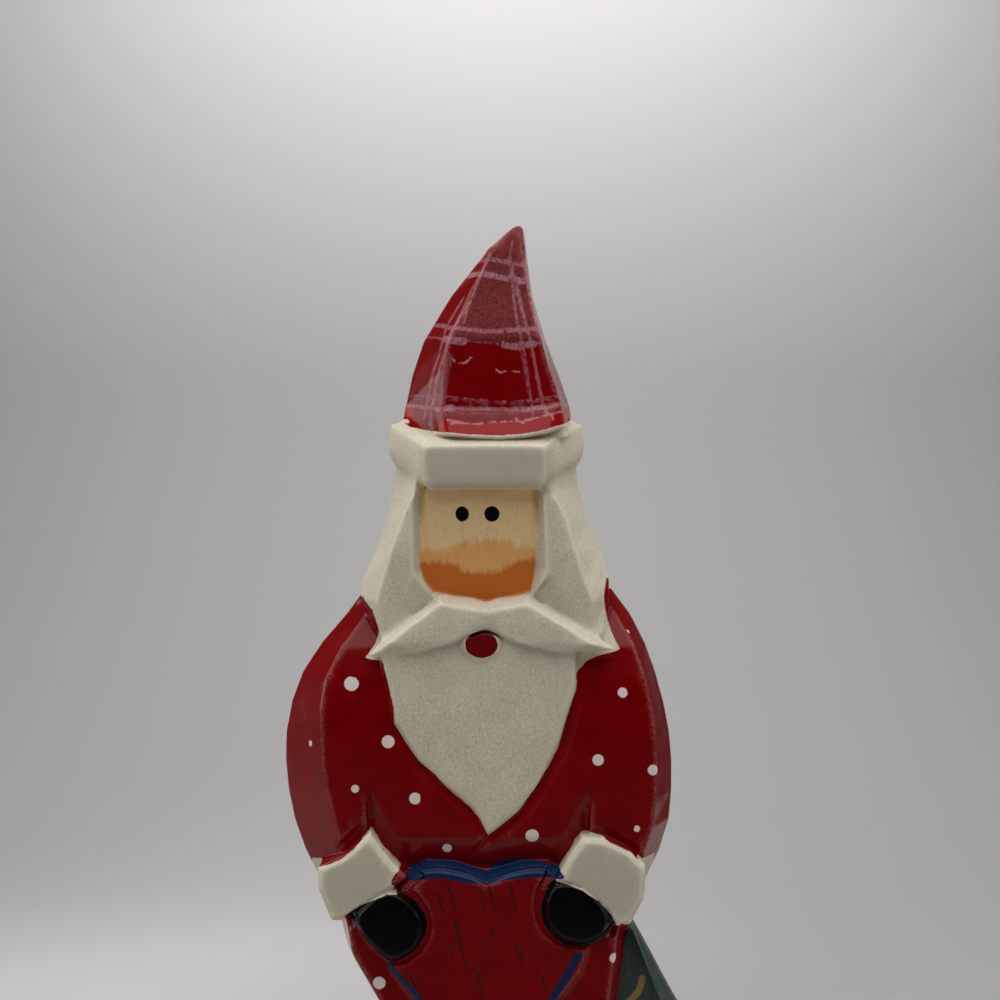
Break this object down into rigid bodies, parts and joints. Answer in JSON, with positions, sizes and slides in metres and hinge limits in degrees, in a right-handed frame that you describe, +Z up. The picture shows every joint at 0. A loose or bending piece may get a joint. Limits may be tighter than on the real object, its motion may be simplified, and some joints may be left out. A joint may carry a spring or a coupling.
{
  "type": "santa figurine",
  "caption": "Whittled and painted wooden Santa in a plaid pointed hat and dotted robe, holding a heart between black mittens, with a fir tree at his side on a low base.",
  "frame": {"origin": "middle of the flat underside of the base", "axes": "+Z up, the figure faces -Y, +X to the side that the tree stands on"},
  "size_m": [0.1266, 0.0698, 0.324],
  "materials": {
    "painted_wood": "hand-painted carved wood: semi-gloss deep red robe and hat, chalky off-white fur, hair and beard, black mittens, flesh face, dark green tree"
  },
  "bodies": {
    "root": {"santa": "painted_wood"}
  },
  "joints": []
}
